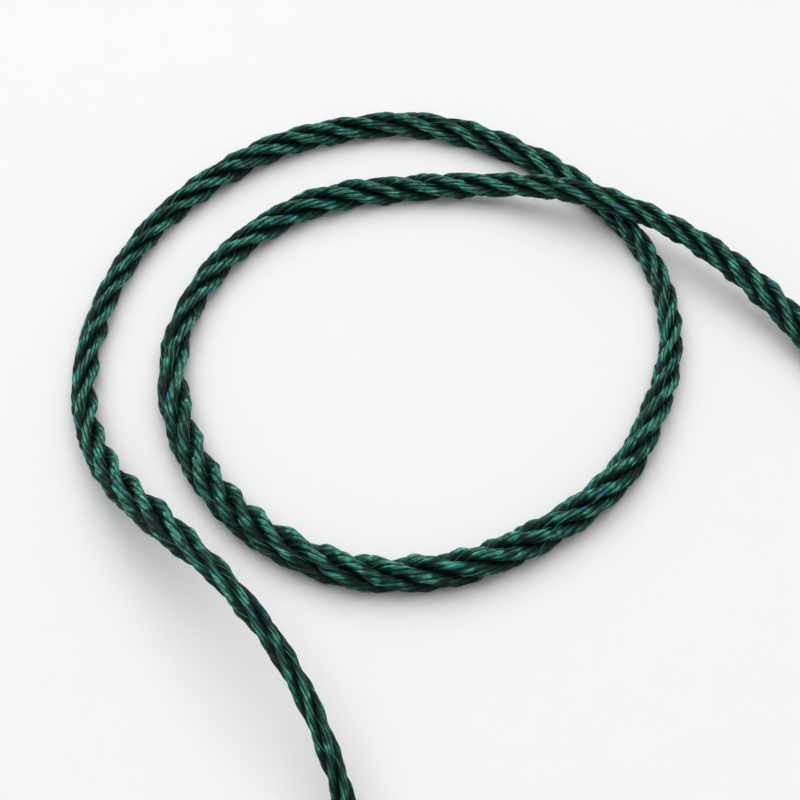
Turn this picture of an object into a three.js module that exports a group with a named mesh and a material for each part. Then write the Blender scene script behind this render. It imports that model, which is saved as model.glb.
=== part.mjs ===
// A cut length of twisted cord, lying on a table in one loose loop that crosses over itself.
//
// Units are millimetres, +Z is up, and the table is the plane z = 0. The cord is one solid:
// a four-lobed section, one lobe for each strand, carried along the route and turned as it
// goes, so that the strands run round the cord as right-handed helices. The cord is soft,
// so its underside is pressed flat where it lies on the table.

import * as THREE from "three";
import { mergeVertices } from "three/addons/utils/BufferGeometryUtils.js";

// Driving dimensions
const STRANDS = 4;
const GROOVE_RADIUS = 0.62; // depth of the groove between strands, as a part of the radius
const SHOULDER_RADIUS = 0.89; // the strand's rounding beside its crest, as a part of the radius
const SEAT = 0.44; // height of the centre line over the table, as a part of the diameter
const STATIONS_PER_TURN = 14; // sections of the solid for each turn of the strands
const END_ROUNDING = [ // distance from the cut end, and the part of the radius that is left there
  [0, 0.72],
  [0.35, 0.92],
  [0.9, 1],
];

// The route of the centre line, from the near tail, anticlockwise round the outer turn, under
// itself, round the inner turn, over itself and out to the right. The diameter is about 3 mm,
// less where the cord is drawn thin. The lay, the length of one turn, is about 18 mm.
// Columns: x, y, clearance under the cord, diameter, turns of the strands so far.
const ROUTE = [
  [-10.8, -53.8, 0, 2.45, 0.09],
  [-12.3, -43.9, 0.5, 2.35, 0.63],
  [-15, -35.2, 4.1, 2.1, 1.15],
  [-19.7, -26.7, 6.6, 2.2, 1.63],
  [-25.7, -18.7, 6.3, 2.45, 2.07],
  [-32.1, -11.3, 3.9, 3.4, 2.5],
  [-38.2, -3.7, 1.7, 3.25, 2.99],
  [-42.1, 5.4, 0.4, 2.8, 3.53],
  [-43, 15.3, 0, 2.75, 4.05],
  [-41.4, 25.2, 0, 2.65, 4.55],
  [-37.7, 34.5, 0, 2.85, 5.05],
  [-31.6, 42.5, 0, 3.15, 5.55],
  [-23.8, 48.8, 0, 3.3, 6.07],
  [-14.4, 52.3, 0, 3.25, 6.61],
  [-4.5, 52.7, 0, 3.3, 7.06],
  [4.8, 48.5, 0, 3.4, 7.51],
  [12.8, 42.5, 0, 3.15, 7.99],
  [18.6, 34.5, 0, 2.85, 8.53],
  [21.8, 25.1, 0, 2.6, 9.07],
  [21.7, 15.1, 0, 2.7, 9.65],
  [18.7, 5.4, 0, 3.1, 10.2],
  [13.9, -3.5, 0, 3.4, 10.72],
  [6.3, -10, 0, 3.5, 11.24],
  [-2.7, -14.5, 0, 3.65, 11.81],
  [-12.7, -14.9, 0, 3.65, 12.37],
  [-21.8, -10.7, 0, 3.75, 12.92],
  [-28.5, -3.2, 0, 3.6, 13.54],
  [-32.5, 6.2, 0, 3.55, 14.07],
  [-33.4, 16, 0, 3.05, 14.45],
  [-30.8, 25.7, 0, 3, 14.89],
  [-25, 34, 0, 3.25, 15.4],
  [-16.5, 39.5, 0, 3.45, 15.9],
  [-6.8, 41.1, 0, 3.3, 16.44],
  [3.1, 40.9, 1, 2.95, 16.98],
  [12.4, 37.8, 2.8, 2.85, 17.51],
  [21.2, 33.1, 3.1, 2.65, 18.06],
  [28.8, 26.4, 2.6, 3.05, 18.64],
  [35, 18.8, 1.4, 3.2, 19.22],
  [39.9, 10, 0.2, 3.05, 19.81],
  [43, 0.6, 0, 3.05, 20.39],
];

// Nylon thread with a silky, dark green finish.
const nylon = new THREE.MeshStandardMaterial({ color: 0x1c6a4e, roughness: 0.48, metalness: 0 });

// A smooth curve through one point for each row of the route.
function curveThrough(points) {
  const curve = new THREE.CatmullRomCurve3(points, false, "catmullrom", 0.5);
  curve.arcLengthDivisions = 4000;
  return curve;
}

const centreLine = curveThrough(
  ROUTE.map(([x, y, clearance, diameter]) => new THREE.Vector3(x, y, clearance + SEAT * diameter)),
);
const build = curveThrough(ROUTE.map(([, , , diameter, turns]) => new THREE.Vector3(diameter, turns, 0)));

// The diameter and the strands' turns at a distance along the cord.
function buildAt(distance) {
  const { x: diameter, y: turns } = build.getPoint(centreLine.getUtoTmapping(0, distance));
  return { diameter, turns };
}

// The section at a radius of 1: each strand gives a groove, a shoulder, its crest and a shoulder.
function strandSection() {
  const radii = [GROOVE_RADIUS, SHOULDER_RADIUS, 1, SHOULDER_RADIUS];
  const points = [];
  for (let i = 0; i < STRANDS * radii.length; i++) {
    const angle = (i / (STRANDS * radii.length)) * 2 * Math.PI;
    const radius = radii[i % radii.length];
    points.push(new THREE.Vector2(radius * Math.cos(angle), radius * Math.sin(angle)));
  }
  return new THREE.Shape(points);
}

// Distances along the cord at which the section is set: even in the twist, and closer together
// at the rounded ends.
function stationDistances(length) {
  const start = END_ROUNDING.map(([distance]) => distance);
  const end = start.map((distance) => length - distance).reverse();
  const first = start[start.length - 1];
  const samples = 8000;
  const middle = [];
  let next = buildAt(first).turns + 1 / STATIONS_PER_TURN;
  for (let i = 1; i < samples; i++) {
    const distance = first + (i / samples) * (length - 2 * first);
    if (buildAt(distance).turns >= next) {
      middle.push(distance);
      next += 1 / STATIONS_PER_TURN;
    }
  }
  return [...start, ...middle, ...end];
}

// How much of the radius is left near a cut end, which heat has sealed and rounded.
function endScale(distanceFromEnd) {
  const ring = END_ROUNDING.find(([distance]) => distanceFromEnd <= distance + 1e-6);
  return ring ? ring[1] : 1;
}

// For each station: the centre, the level direction across the cord, the direction square to
// both, the radius, and the angle through which the strands have turned.
function layStations() {
  const length = centreLine.getLength();
  const up = new THREE.Vector3(0, 0, 1);
  return stationDistances(length).map((distance) => {
    const fraction = distance / length;
    const tangent = centreLine.getTangentAt(fraction);
    const across = new THREE.Vector3().crossVectors(up, tangent).normalize();
    const over = new THREE.Vector3().crossVectors(tangent, across);
    const { diameter, turns } = buildAt(distance);
    const radius = (diameter / 2) * endScale(Math.min(distance, length - distance));
    return { centre: centreLine.getPointAt(fraction), across, over, radius, turned: turns * 2 * Math.PI };
  });
}

// A straight extrusion of the section whose rings are then carried to their stations.
function twistedCord() {
  const stations = layStations();
  const steps = stations.length - 1;
  const geometry = new THREE.ExtrudeGeometry(strandSection(), { depth: 1, steps, bevelEnabled: false });
  const position = geometry.getAttribute("position");
  const point = new THREE.Vector3();
  for (let i = 0; i < position.count; i++) {
    point.fromBufferAttribute(position, i);
    const { centre, across, over, radius, turned } = stations[Math.round(point.z * steps)];
    const angle = Math.atan2(point.y, point.x) + turned;
    const reach = Math.hypot(point.x, point.y) * radius;
    point.copy(centre);
    point.addScaledVector(across, reach * Math.cos(angle));
    point.addScaledVector(over, reach * Math.sin(angle));
    point.z = Math.max(point.z, 0);
    position.setXYZ(i, point.x, point.y, point.z);
  }
  geometry.deleteAttribute("normal");
  geometry.deleteAttribute("uv");
  const solid = mergeVertices(geometry, 1e-4);
  solid.computeVertexNormals();
  return solid;
}

const cord = new THREE.Mesh(twistedCord(), nylon);
cord.name = "cord";

const part = new THREE.Group();
part.add(cord);

export default part;
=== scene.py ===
"""A cut length of dark green twisted cord, lying on a table in one loose loop that crosses over itself.

Units are metres. The cord has four strands of six yarns. Each strand is a tube whose mesh lines
follow its yarns: the strands run round the cord one way, and the yarns round the strand the other.
"""

import math

import bpy
import numpy as np
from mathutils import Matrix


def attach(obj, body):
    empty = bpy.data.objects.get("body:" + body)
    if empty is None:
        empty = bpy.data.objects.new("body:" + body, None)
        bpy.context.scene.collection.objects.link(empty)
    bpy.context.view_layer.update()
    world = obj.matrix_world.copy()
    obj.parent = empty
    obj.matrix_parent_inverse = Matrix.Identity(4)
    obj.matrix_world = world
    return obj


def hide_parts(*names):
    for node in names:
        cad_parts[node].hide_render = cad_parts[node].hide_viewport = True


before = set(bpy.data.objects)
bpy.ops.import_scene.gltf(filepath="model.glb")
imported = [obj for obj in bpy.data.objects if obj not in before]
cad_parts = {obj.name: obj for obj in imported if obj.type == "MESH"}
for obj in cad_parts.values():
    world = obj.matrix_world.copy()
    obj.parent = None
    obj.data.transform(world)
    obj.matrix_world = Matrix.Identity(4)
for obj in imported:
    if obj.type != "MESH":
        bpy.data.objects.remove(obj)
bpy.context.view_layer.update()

# The route of the centre line, from the near tail, anticlockwise round the outer turn, under
# itself, round the inner turn, over itself and out to the right.
# Columns: x, y, clearance under the cord, diameter, turns of the strands so far.
ROUTE = np.array([
    [-0.0108, -0.0538, 0, 0.00245, 0.09],
    [-0.0123, -0.0439, 0.0005, 0.00235, 0.63],
    [-0.015, -0.0352, 0.0041, 0.0021, 1.15],
    [-0.0197, -0.0267, 0.0066, 0.0022, 1.63],
    [-0.0257, -0.0187, 0.0063, 0.00245, 2.07],
    [-0.0321, -0.0113, 0.0039, 0.0034, 2.5],
    [-0.0382, -0.0037, 0.0017, 0.00325, 2.99],
    [-0.0421, 0.0054, 0.0004, 0.0028, 3.53],
    [-0.043, 0.0153, 0, 0.00275, 4.05],
    [-0.0414, 0.0252, 0, 0.00265, 4.55],
    [-0.0377, 0.0345, 0, 0.00285, 5.05],
    [-0.0316, 0.0425, 0, 0.00315, 5.55],
    [-0.0238, 0.0488, 0, 0.0033, 6.07],
    [-0.0144, 0.0523, 0, 0.00325, 6.61],
    [-0.0045, 0.0527, 0, 0.0033, 7.06],
    [0.0048, 0.0485, 0, 0.0034, 7.51],
    [0.0128, 0.0425, 0, 0.00315, 7.99],
    [0.0186, 0.0345, 0, 0.00285, 8.53],
    [0.0218, 0.0251, 0, 0.0026, 9.07],
    [0.0217, 0.0151, 0, 0.0027, 9.65],
    [0.0187, 0.0054, 0, 0.0031, 10.2],
    [0.0139, -0.0035, 0, 0.0034, 10.72],
    [0.0063, -0.01, 0, 0.0035, 11.24],
    [-0.0027, -0.0145, 0, 0.00365, 11.81],
    [-0.0127, -0.0149, 0, 0.00365, 12.37],
    [-0.0218, -0.0107, 0, 0.00375, 12.92],
    [-0.0285, -0.0032, 0, 0.0036, 13.54],
    [-0.0325, 0.0062, 0, 0.00355, 14.07],
    [-0.0334, 0.016, 0, 0.00305, 14.45],
    [-0.0308, 0.0257, 0, 0.003, 14.89],
    [-0.025, 0.034, 0, 0.00325, 15.4],
    [-0.0165, 0.0395, 0, 0.00345, 15.9],
    [-0.0068, 0.0411, 0, 0.0033, 16.44],
    [0.0031, 0.0409, 0.001, 0.00295, 16.98],
    [0.0124, 0.0378, 0.0028, 0.00285, 17.51],
    [0.0212, 0.0331, 0.0031, 0.00265, 18.06],
    [0.0288, 0.0264, 0.0026, 0.00305, 18.64],
    [0.035, 0.0188, 0.0014, 0.0032, 19.22],
    [0.0399, 0.01, 0.0002, 0.00305, 19.81],
    [0.043, 0.0006, 0, 0.00305, 20.39],
])
SEAT = 0.44  # height of the centre line over the table, as a part of the diameter
STATIONS = 940  # rings of points along the cord

# The strands. Sizes are parts of the cord's radius.
STRANDS = 4
STRAND_CENTRE = 0.59  # distance of the strand's centre from the cord's axis
STRAND_THICKNESS = 0.42  # half its thickness, in and out
STRAND_WIDTH = 0.35  # half its width, round the cord
STRAND_UNEVENNESS = 0.07
STRAND_WAVE = 0.004  # length over which a strand's thickness changes
BEND_BULGE = 2.4  # how much a strand swells on the inside of a bend
BULGE_LIMIT = 0.2
BULGE_SHIFT = 0.3  # how far a swollen strand moves out and narrows, as a part of the bulge
CORE = 0.34  # radius of the straight core between the strands
CORE_SIDES = 8

# The yarns of a strand
YARNS = 6
YARN_PROFILE = np.array([0.74, 0.95, 1.04, 0.95])  # groove, shoulder, crest, shoulder
YARN_TURNS = 3.0  # turns of a yarn in its strand for each turn of the strand in the cord
YARN_UNEVENNESS = 0.19
YARN_WAVE = 0.0012  # length over which a yarn's thickness changes
YARN_DRIFT = 0.16  # how far a yarn strays round its strand, in radians
DRIFT_WAVE = 0.003

# The cut ends and the underside
SEAL_LENGTH = 0.0011  # length of cord that heat has sealed at a cut end
SEAL_SHRINK = 0.55  # the share of its section that the sealed cord loses
END_DOME = 0.00012  # how far a strand's end stands out in the middle
TABLE_SOFTNESS = 0.00006  # how gently the underside is pressed flat

# Loose filaments, which lie on the yarns, and hairs, which stand off
LYING_FILAMENTS = 2200
LYING_LENGTH = (0.0012, 0.0030)
LYING_LIFT = (0.00001, 0.00005)
LYING_RADIUS = (0.000022, 0.00004)
HAIRS = 260
HAIR_LENGTH = (0.0008, 0.0024)
HAIR_RISE = (0.0002, 0.0011)
HAIR_RADIUS = 0.00001
FILAMENT_RINGS = 8

# The camera and the light
CAMERA_PLACE = (-0.0084, -0.1034, 0.13371)
CAMERA_ELEVATION = 50
TABLE_HALF = 1.5
LIGHT_DIAMETER = 1.7
LIGHT_POWER = 12.2
LIGHT_TILT = 20  # degrees from overhead towards the back
LIGHT_LEFT = 0.12
ROOM_BRIGHTNESS = 0.44


def camera_at_photo_angle():
    """The view of the photo: a long lens, looking down at 50 degrees."""
    data = bpy.data.cameras.new("camera")
    data.lens = 72
    data.sensor_width = 36
    data.clip_start = 0.005
    camera = bpy.data.objects.new("camera", data)
    camera.location = CAMERA_PLACE
    camera.rotation_euler = (math.radians(90 - CAMERA_ELEVATION), 0, 0)
    bpy.context.scene.collection.objects.link(camera)
    bpy.context.scene.camera = camera


def unit(vectors):
    return vectors / np.linalg.norm(vectors, axis=-1, keepdims=True)


def along(table, where):
    """Catmull-Rom spline through the rows of a table, at the row numbers in where."""
    ends = np.vstack([2 * table[0] - table[1], table, 2 * table[-1] - table[-2]])
    row = np.clip(where, 0, len(table) - 1 - 1e-9)
    first = row.astype(int)
    w = (row - first)[:, None]
    p0, p1, p2, p3 = (ends[first + step] for step in range(4))
    leave = (p2 - p0) / 2
    arrive = (p3 - p1) / 2
    return (
        p1
        + leave * w
        + (-3 * p1 + 3 * p2 - 2 * leave - arrive) * w**2
        + (2 * p1 - 2 * p2 + leave + arrive) * w**3
    )


def wander(random, lines, distance, spacing):
    """Smooth random numbers from -1 to 1, a column for each line, changing over a length of spacing."""
    knots = random.uniform(-1, 1, (int(distance[-1] / spacing) + 3, lines))
    row = distance / spacing
    first = row.astype(int)
    w = (row - first)[:, None]
    w = w * w * (3 - 2 * w)
    return knots[first] * (1 - w) + knots[first + 1] * w


def lay_stations():
    """The cord at stations that are even in its twist.

    Each station has its centre, the level direction across the cord, the direction over both,
    the bend, the radius, the turn of the strands, and how loose the cord is, 0 where it is sealed.
    """
    rows = len(ROUTE) - 1
    line = along(ROUTE, np.linspace(0, rows, 8001))
    points = line[:, :3] + 0
    points[:, 2] += SEAT * line[:, 3]
    walked = np.append(0, np.cumsum(np.linalg.norm(np.diff(points, axis=0), axis=1)))
    turns = line[:, 4]
    distance = np.interp(np.linspace(turns[0], turns[-1], STATIONS), turns, walked)
    tangents = unit(np.gradient(points, walked, axis=0))
    bends = np.gradient(tangents, walked, axis=0)

    def pick(values):
        columns = values.reshape(len(values), -1).T
        return np.stack([np.interp(distance, walked, column) for column in columns], axis=-1)

    tangent = unit(pick(tangents))
    across = unit(np.cross([0, 0, 1], tangent))
    from_end = np.minimum(distance, distance[-1] - distance)
    loose = np.clip(from_end / SEAL_LENGTH, 0, 1)
    closing = np.sqrt(1 - SEAL_SHRINK * (1 - loose) ** 2)
    return {
        "distance": distance,
        "centre": pick(points),
        "across": across,
        "over": np.cross(tangent, across),
        "bend": pick(bends),
        "radius": pick(line[:, 3])[:, 0] / 2 * closing,
        "turned": pick(turns)[:, 0] * 2 * math.pi,
        "loose": loose,
    }


def round_the_axis(cord, angle):
    """Directions square to the centre line, at an angle from the level one."""
    return (
        np.cos(angle)[..., None] * cord["across"][:, None]
        + np.sin(angle)[..., None] * cord["over"][:, None]
    )


def lay_strands(cord, random):
    """The strands' centres, directions and half sizes at each station.

    A strand's centre goes round the cord's axis at an angle that grows with the cord's turns.
    The strand swells on the inside of a bend and thins on the outside.
    """
    radius = cord["radius"][:, None]
    angle = cord["turned"][:, None] + (np.arange(STRANDS) + 0.5) * 2 * math.pi / STRANDS
    outward = round_the_axis(cord, angle)
    inside = np.einsum("nc,nsc->ns", cord["bend"], outward) * radius
    bulge = np.clip(BEND_BULGE * inside, -BULGE_LIMIT, BULGE_LIMIT) * cord["loose"][:, None]
    uneven = STRAND_UNEVENNESS * wander(random, STRANDS, cord["distance"], STRAND_WAVE)
    reach = STRAND_CENTRE * radius * (1 + BULGE_SHIFT * bulge)
    centre = cord["centre"][:, None] + outward * reach[..., None]
    tangent = unit(np.gradient(centre, cord["distance"], axis=0))
    return {
        "centre": centre,
        "tangent": tangent,
        "outward": outward,
        "sideways": unit(np.cross(tangent, outward)),
        "thickness": STRAND_THICKNESS * radius * (1 + bulge + uneven),
        "width": STRAND_WIDTH * radius * (1 - BULGE_SHIFT * bulge),
    }


def lay_yarns(cord, strands, random):
    """Rings of points round each strand, whose lines follow the yarns.

    A ring is the strand's ellipse times the yarns' profile, turned back by the yarns' own twist.
    Each yarn drifts and changes its thickness. No point goes below the table.
    """
    lines = YARNS * len(YARN_PROFILE)

    def for_each_yarn(spacing):
        values = wander(random, STRANDS * YARNS, cord["distance"], spacing)
        return np.repeat(values.reshape(STATIONS, STRANDS, YARNS), len(YARN_PROFILE), axis=2)

    phase = random.uniform(0, 2 * math.pi, STRANDS)
    drift = YARN_DRIFT * for_each_yarn(DRIFT_WAVE)
    uneven = 1 + YARN_UNEVENNESS * for_each_yarn(YARN_WAVE)
    start = phase - cord["turned"][:, None] * YARN_TURNS
    angle = start[..., None] + np.arange(lines) * 2 * math.pi / lines + drift
    groove = 1 - np.tile(YARN_PROFILE, YARNS)
    reach = (1 - groove * cord["loose"][:, None, None]) * uneven
    out = strands["thickness"][..., None] * reach * np.cos(angle)
    side = strands["width"][..., None] * reach * np.sin(angle)
    points = (
        strands["centre"][:, :, None]
        + out[..., None] * strands["outward"][:, :, None]
        + side[..., None] * strands["sideways"][:, :, None]
    )
    height = points[..., 2]
    points[..., 2] = (height + np.sqrt(height**2 + TABLE_SOFTNESS**2)) / 2
    return points


def quads_between(near, far):
    """Faces from rings of point numbers to the next rings, each ring closed on itself."""
    corners = [near, far, np.roll(far, -1, axis=-1), np.roll(near, -1, axis=-1)]
    return np.stack(corners, axis=-1).reshape(-1, 4).tolist()


def new_piece(name, points, faces, material):
    mesh = bpy.data.meshes.new(name)
    mesh.from_pydata(points.tolist(), [], faces)
    mesh.shade_smooth()
    mesh.materials.append(material)
    piece = bpy.data.objects.new(name, mesh)
    bpy.context.scene.collection.objects.link(piece)
    return piece


def set_values(piece, name, values):
    """A number for each point of a piece, which its material reads by name."""
    attribute = piece.data.attributes.new(name, "FLOAT", "POINT")
    attribute.data.foreach_set("value", values)


def yarn_coordinates(distance):
    """For each face corner: the strand's number plus the part of the way round it, and mm along it."""
    lines = YARNS * len(YARN_PROFILE)
    u = np.arange(STRANDS)[:, None] + np.arange(lines + 1) / lines
    u = np.broadcast_to(u, (STATIONS, STRANDS, lines + 1))
    v = np.broadcast_to(distance[:, None, None] * 1000, u.shape)
    uv = np.stack([u, v], axis=-1)
    sides = np.stack([uv[:-1, :, :-1], uv[1:, :, :-1], uv[1:, :, 1:], uv[:-1, :, 1:]], axis=3)
    ends = np.repeat(uv[[0, -1], :, :-1][..., None, :], 3, axis=-2)
    return np.concatenate([sides.ravel(), ends.ravel()])


def twisted_cord(cord, strands, points, material):
    """The strands, their sealed ends and the core between them, as one mesh."""
    centre = cord["centre"][:, None]
    radius = cord["radius"][:, None, None]
    dome = strands["tangent"][[0, -1]] * np.array([-END_DOME, END_DOME])[:, None, None]
    caps = strands["centre"][[0, -1]] + dome
    core_angle = np.arange(CORE_SIDES) * 2 * math.pi / CORE_SIDES
    core = centre + CORE * radius * round_the_axis(cord, core_angle)
    vertices = np.concatenate([points.reshape(-1, 3), caps.reshape(-1, 3), core.reshape(-1, 3)])

    number = np.arange(points[..., 0].size).reshape(points.shape[:3])
    beside = np.roll(number, -1, axis=2)
    cap_number = number.size + np.arange(2 * STRANDS).reshape(2, STRANDS, 1)
    cap_number = np.broadcast_to(cap_number, (2, *number[0].shape))
    fans = [
        np.stack([cap_number[0], number[0], beside[0]], axis=-1),
        np.stack([cap_number[1], beside[-1], number[-1]], axis=-1),
    ]
    core_number = np.arange(STATIONS * CORE_SIDES).reshape(STATIONS, CORE_SIDES)
    core_number = core_number + number.size + 2 * STRANDS
    core_faces = quads_between(core_number[:-1], core_number[1:])
    faces = quads_between(number[:-1], number[1:])
    faces += np.concatenate(fans).reshape(-1, 3).tolist()
    faces += core_faces

    piece = new_piece("twisted_cord", vertices, faces, material)
    core_uv = np.zeros(len(core_faces) * 4 * 2)
    layer = piece.data.uv_layers.new(name="yarns")
    layer.data.foreach_set("uv", np.concatenate([yarn_coordinates(cord["distance"]), core_uv]))

    def for_all_points(on_strands, on_caps, on_core):
        on_strands = np.broadcast_to(on_strands, number.shape)
        on_caps = np.full(2 * STRANDS, float(on_caps))
        on_core = np.full(core_number.size, float(on_core))
        return np.concatenate([on_strands.ravel(), on_caps, on_core])

    arm = points - centre[:, :, None]
    set_values(piece, "sealed", for_all_points(1 - cord["loose"][:, None, None], 1, 0))
    # The core's from_axis is CORE, low enough that the nylon material gives it the painted shade colour
    # all over
    set_values(piece, "from_axis", for_all_points(np.linalg.norm(arm, axis=-1) / radius, 0.9, CORE))
    set_values(piece, "upward", for_all_points(arm[..., 2] / radius, 0, 0))
    return piece


def loose_filaments(cord, surface, middles, material):
    """Single filaments that lie loose on the yarns, and a few that stand off as fuzz.

    Each is a thin four-sided tube on a point of the strand's surface that moves along the cord
    and slowly across the yarn, lifted off it along the line from the strand's middle.
    """
    random = np.random.default_rng(8)
    count = LYING_FILAMENTS + HAIRS
    hair = np.arange(count) >= LYING_FILAMENTS
    part = np.linspace(0, 1, FILAMENT_RINGS)
    hair_length = random.uniform(*HAIR_LENGTH, count)
    length = np.where(hair, hair_length, random.uniform(*LYING_LENGTH, count))
    last_start = cord["distance"][-1] - SEAL_LENGTH - LYING_LENGTH[1]
    start = random.uniform(SEAL_LENGTH, last_start, count)
    place = start[:, None] + length[:, None] * part
    station = np.interp(place, cord["distance"], np.arange(STATIONS))
    strand = random.integers(0, STRANDS, count)[:, None]
    size = len(YARN_PROFILE)
    crest = random.integers(0, YARNS, count) * size + size / 2
    beside_crest = random.uniform(-1, 1, count)
    slant = random.uniform(-0.9, 0.9, count)[:, None] * part
    line = (crest + beside_crest)[:, None] + slant

    first = np.clip(station.astype(int), 0, STATIONS - 2)
    w = (station - first)[..., None]
    near_line = np.floor(line).astype(int)
    v = (line - near_line)[..., None]
    lines = YARNS * size

    def on_surface(row):
        near = surface[row, strand, near_line % lines]
        far = surface[row, strand, (near_line + 1) % lines]
        return near * (1 - v) + far * v

    foot = on_surface(first) * (1 - w) + on_surface(first + 1) * w
    middle = middles[first, strand] * (1 - w) + middles[first + 1, strand] * w
    away = unit(foot - middle)
    rise = np.where(hair, random.uniform(*HAIR_RISE, count), 0)[:, None] * part**2
    lift = np.where(hair, 0, random.uniform(*LYING_LIFT, count))[:, None] + rise
    path = foot + away * lift[..., None]
    radius = np.where(hair, HAIR_RADIUS, random.uniform(*LYING_RADIUS, count))
    hair_taper = 1 - 0.6 * part
    lying_taper = np.sin(math.pi * (0.06 + 0.88 * part)) ** 0.5
    taper = np.where(hair[:, None], hair_taper, lying_taper)
    radius = (radius[:, None] * taper)[..., None]
    path[..., 2] = np.maximum(path[..., 2], radius[..., 0])
    tangent = unit(np.gradient(path, axis=1))
    side = unit(np.cross(tangent, away))
    over = np.cross(side, tangent)
    ring = [path + over * radius, path + side * radius, path - over * radius, path - side * radius]
    points = np.stack(ring, axis=2)
    points[..., 2] = np.maximum(points[..., 2], 0)

    number = np.arange(points[..., 0].size).reshape(points.shape[:3])
    faces = quads_between(number[:, :-1], number[:, 1:])
    faces += number[:, 0].tolist() + number[:, -1, ::-1].tolist()
    piece = new_piece("loose_filaments", points.reshape(-1, 3), faces, material)

    half_way = FILAMENT_RINGS // 2 - 1
    beneath = first[:, half_way]
    upward = (path[:, half_way, 2] - cord["centre"][beneath, 2]) / cord["radius"][beneath]
    # Random tone times painted shade: filaments low on the cord are darker
    tone_and_painted_shade = random.uniform(0, 1, count) * np.clip(0.5 + upward, 0.1, 1)
    set_values(piece, "shade", np.repeat(tone_and_painted_shade, number[0].size))
    return piece


class Number:
    """An output in a material's node tree, on which plain arithmetic makes Math nodes."""

    def __init__(self, nodes, socket):
        self.nodes = nodes
        self.socket = socket

    def math(self, operation, *values):
        return self.nodes.node("Math", {"operation": operation}, dict(enumerate(values)))

    def __add__(self, other):
        return self.math("ADD", self, other)

    def __radd__(self, other):
        return self.math("ADD", other, self)

    def __sub__(self, other):
        return self.math("SUBTRACT", self, other)

    def __rsub__(self, other):
        return self.math("SUBTRACT", other, self)

    def __mul__(self, other):
        return self.math("MULTIPLY", self, other)

    def __rmul__(self, other):
        return self.math("MULTIPLY", other, self)

    def floor(self):
        return self.math("FLOOR", self)

    def fraction(self):
        return self.math("FRACT", self)

    def size(self):
        return self.math("ABSOLUTE", self)


class Nodes:
    """The node tree of one material. node() adds a node of any type, with its settings and inputs."""

    def __init__(self, name):
        self.material = bpy.data.materials.new(name)
        self.material.use_nodes = True
        self.tree = self.material.node_tree
        self.tree.nodes.clear()

    def node(self, kind, settings=(), inputs=(), output=0):
        made = self.tree.nodes.new("ShaderNode" + kind)
        for name, value in dict(settings).items():
            setattr(made, name, value)
        for name, value in dict(inputs).items():
            if isinstance(value, Number):
                self.tree.links.new(value.socket, made.inputs[name])
            else:
                made.inputs[name].default_value = value
        return Number(self, made.outputs[output]) if len(made.outputs) else None

    def range(self, value, low, high, to_low=0.0, to_high=1.0):
        """value from low to high, eased, as a number from to_low to to_high."""
        ends = {"From Min": low, "From Max": high, "To Min": to_low, "To Max": to_high}
        return self.node("MapRange", {"interpolation_type": "SMOOTHSTEP"}, {"Value": value, **ends})

    def mix(self, factor, first, second):
        """The colour that is first at factor 0 and second at factor 1."""
        return self.node("Mix", {"data_type": "RGBA"}, {0: factor, 6: first, 7: second}, 2)

    def vector(self, x, y, z=0.0):
        return self.node("CombineXYZ", {}, {"X": x, "Y": y, "Z": z})

    def noise(self, vector, scale, detail=2.0):
        return self.node("TexNoise", {}, {"Vector": vector, "Scale": scale, "Detail": detail})

    def value(self, name):
        """A piece's own number for each point."""
        return self.node("Attribute", {"attribute_name": name}, {}, 2)

    def finish(self, shader):
        self.node("OutputMaterial", {}, {"Surface": shader})
        return self.material


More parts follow.
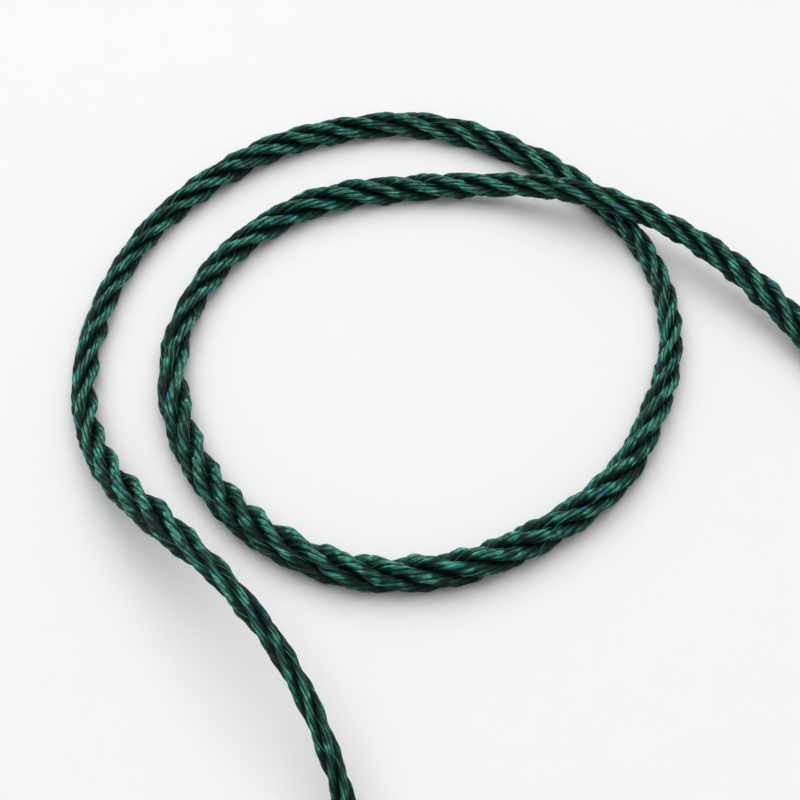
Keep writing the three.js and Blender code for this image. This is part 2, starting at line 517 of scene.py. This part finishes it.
def nylon_material():
    """Silky green nylon.

    The yarns' coordinates u and v give each yarn its own shade, streaks and fine filament lines
    along it. Crests are painted pale as a painted highlight, and the filament lines carry painted
    glints. Yarn grooves, a line between each yarn's two plies, the strands' flanks, the core and
    the low sides are painted dark as painted shade. The first yarn of
    each strand is teal or blue here and there.
    """
    nodes = Nodes("nylon")
    uv = nodes.node("UVMap", {"uv_map": "yarns"})
    u = nodes.node("SeparateXYZ", {}, {0: uv}, 0)
    v = nodes.node("SeparateXYZ", {}, {0: uv}, 1)
    place = nodes.node("TexCoord", {}, {}, 3)
    from_axis = nodes.value("from_axis")
    upward = nodes.value("upward")
    sealed = nodes.value("sealed")

    yarn = (u * YARNS).floor()
    middle = 1 - ((u * YARNS).fraction() * 2 - 1).size()  # 0 in the groove, 1 on the yarn's crest
    ply = ((u * YARNS * 2).fraction() * 2 - 1).size()  # 0 in the middle of a ply, 1 between two
    accent = 1 - (u.fraction() * YARNS).floor().size()  # 1 on the first yarn of each strand

    # The steps in yarn keep the noises of neighbouring yarns apart.
    shade = nodes.noise(nodes.vector(yarn * 7.31, v * 0.9), 1.0)
    tint = nodes.noise(nodes.vector(yarn * 5.17 + 90, v * 0.7), 1.0)
    streak = nodes.noise(nodes.vector(u * YARNS * 4.2, v * 1.3 + yarn * 3.7), 1.0, 3.0)
    filament = nodes.noise(nodes.vector(u * YARNS * 12, v * 0.9 + yarn * 1.9), 1.0)
    patch = nodes.noise(place, 700.0, 1.0)
    region = nodes.noise(place, 60.0, 0.0)
    depth = from_axis + (patch - 0.53) * 0.8

    deep_green = (0.003, 0.03, 0.022, 1)
    green = (0.008, 0.12, 0.078, 1)
    # pale_green is the painted highlight colour of the crests
    pale_green = (0.07, 0.52, 0.35, 1)
    # glint is a painted highlight colour, for light caught by single filaments
    glint = (0.15, 0.62, 0.46, 1)
    teal = (0.008, 0.23, 0.23, 1)
    blue = (0.006, 0.13, 0.28, 1)
    # groove is the painted shade colour: near-black green put where shade falls
    groove = (0.003, 0.013, 0.011, 1)
    seal = (0.003, 0.02, 0.015, 1)

    colour = nodes.mix(nodes.range(streak, 0.35, 0.6), deep_green, green)
    # Painted highlight: pale green on the strands' crests, where depth is high, broken up by random
    # streaks and shade
    bright = nodes.range(streak, 0.42, 0.62) * nodes.range(shade, 0.36, 0.62, 0.2, 1.1)
    colour = nodes.mix(bright * nodes.range(depth, 0.82, 1.05), colour, pale_green)
    # Painted glints: thin pale lines along the yarns, only on the strands' crests
    filament_glint = nodes.range(filament, 0.51, 0.63, 0, 0.75) * nodes.range(depth, 0.84, 1.0)
    colour = nodes.mix(filament_glint, colour, glint)
    accent_colour = nodes.mix(nodes.range(region, 0.46, 0.56), teal, blue)
    accent_here = nodes.range(accent, 0.5, 0.9) * nodes.range(tint, 0.45, 0.6, 0, 0.9)
    colour = nodes.mix(accent_here, colour, accent_colour)
    # Painted shade in the grooves between neighbouring yarns
    colour = nodes.mix(nodes.range(middle, 0.0, 0.6, 0.9, 0), colour, groove)
    # Painted shade on the strands' flanks, in the grooves between strands and on the core
    colour = nodes.mix(nodes.range(depth, 0.66, 0.94, 1, 0), colour, groove)
    # Painted shade: a dark line in the crease between each yarn's two plies
    colour = nodes.mix(nodes.range(ply, 0.55, 1.0, 0, 0.7), colour, groove)
    # Painted shade on the cord's low side, darker towards the table
    colour = nodes.mix(nodes.range(upward, -0.5, 0.45, 0.75, 0), colour, groove)
    colour = nodes.mix(sealed, colour, seal)

    relief = {"Height": streak + 0.6 * filament, "Distance": 0.00006, "Strength": 0.8}
    shader = nodes.node("BsdfPrincipled", {}, {
        "Base Color": colour,
        "Roughness": 0.42,
        "Specular IOR Level": 0.12,
        "Coat Weight": nodes.range(middle, 0.35, 0.9, 0, 0.4) * nodes.range(from_axis, 0.86, 1.0),
        "Coat Roughness": 0.3,
        "Normal": nodes.node("Bump", {}, relief),
    })
    return nodes.finish(shader)


def filament_material():
    """Single glossy filaments, from dark to pale green, and a few in teal."""
    nodes = Nodes("filament")
    shade = nodes.value("shade")
    dark_green = (0.006, 0.08, 0.055, 1)
    pale_green = (0.05, 0.34, 0.235, 1)
    teal = (0.01, 0.2, 0.25, 1)
    # shade is random tone with painted shade on the cord's low side, and it runs the filaments from
    # dark to pale green
    colour = nodes.mix(nodes.range(shade, 0.2, 0.8), dark_green, pale_green)
    colour = nodes.mix(nodes.range(shade, 0.90, 0.92), colour, teal)
    return nodes.finish(nodes.node("BsdfPrincipled", {}, {"Base Color": colour, "Roughness": 0.35}))


def table_material():
    """A white surface that light enters a little, so that shadows on it are soft."""
    nodes = Nodes("table")
    shader = nodes.node("BsdfPrincipled", {"subsurface_method": "BURLEY"}, {
        "Base Color": (0.83, 0.83, 0.83, 1),
        "Roughness": 0.6,
        "Subsurface Weight": 1.0,
        "Subsurface Radius": (1, 1, 1),
        "Subsurface Scale": 0.003,
    })
    return nodes.finish(shader)


def studio():
    """A wide white table, one large soft light above and behind, and a white room."""
    half = TABLE_HALF
    corners = np.array([(-half, -half, 0), (half, -half, 0), (half, half, 0), (-half, half, 0)])
    new_piece("table", corners, [(0, 1, 2, 3)], table_material())

    data = bpy.data.lights.new("softbox", "AREA")
    data.shape = "DISK"
    data.size = LIGHT_DIAMETER
    data.energy = LIGHT_POWER
    light = bpy.data.objects.new("softbox", data)
    tilt = math.radians(LIGHT_TILT)
    light.location = (-LIGHT_LEFT, math.sin(tilt), math.cos(tilt))
    back = unit(np.array(light.location))
    light.rotation_euler = (-math.atan2(back[1], back[2]), math.asin(back[0]), 0)
    bpy.context.scene.collection.objects.link(light)

    world = bpy.data.worlds.new("room")
    world.use_nodes = True
    background = world.node_tree.nodes["Background"]
    background.inputs["Color"].default_value = (1, 1, 1, 1)
    background.inputs["Strength"].default_value = ROOM_BRIGHTNESS
    bpy.context.scene.world = world
    bpy.context.scene.view_settings.view_transform = "Standard"


camera_at_photo_angle()
cord = lay_stations()
random = np.random.default_rng(5)
strands = lay_strands(cord, random)
surface = lay_yarns(cord, strands, random)
cord_piece = twisted_cord(cord, strands, surface, nylon_material())
filaments = loose_filaments(cord, surface, strands["centre"], filament_material())
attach(filaments, "root")
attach(cord_piece, "root")
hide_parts("cord")
studio()
